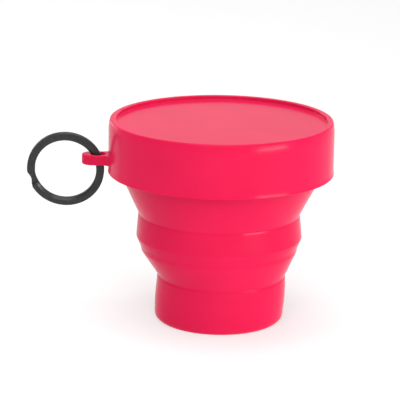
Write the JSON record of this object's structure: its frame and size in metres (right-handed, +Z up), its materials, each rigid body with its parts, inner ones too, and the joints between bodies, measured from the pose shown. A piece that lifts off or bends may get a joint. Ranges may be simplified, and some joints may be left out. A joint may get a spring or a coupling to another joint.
{
  "type": "collapsible travel cup",
  "caption": "Pink-red silicone travel cup that telescopes flat, with a push-on lid, a lug on the lid's skirt and a black split ring.",
  "frame": {"origin": "centre of the foot, on the plane the cup stands on", "axes": "+Z up along the cup's axis; the lug and its ring point along -X, so X is the longest extent"},
  "size_m": [0.1201, 0.0884, 0.0807],
  "materials": {
    "cup_silicone": "satin moulded silicone",
    "lid_silicone": "satin moulded silicone",
    "ring_metal": "dark plated spring steel"
  },
  "bodies": {
    "base": {"base_cup": "cup_silicone"},
    "middle": {"middle_band": "cup_silicone", "lower_fold": "cup_silicone"},
    "upper": {"rim_wall": "cup_silicone", "drinking_lip": "cup_silicone", "upper_fold": "cup_silicone"},
    "lid": {"lid_cap": "lid_silicone", "lid_loop": "lid_silicone"},
    "ring": {"split_ring": "ring_metal"}
  },
  "joints": [
    {"name": "lower_fold_slide", "type": "slide", "parent": "base", "child": "middle", "axis": [0, 0, -1], "range_m": [0, 0.0245], "deforming": ["lower_fold"]},
    {"name": "upper_fold_slide", "type": "slide", "parent": "middle", "child": "upper", "axis": [0, 0, -1], "range_m": [0, 0.033], "deforming": ["upper_fold"]},
    {"name": "lid_lift", "type": "slide", "parent": "upper", "child": "lid", "axis": [0, 0, 1], "range_m": [0, 0.04]},
    {"name": "ring_swing", "type": "hinge", "parent": "lid", "child": "ring", "pos_m": [-0.048, 0, 0.06395], "axis": [0, 1, 0], "range_deg": [0, 38]}
  ]
}
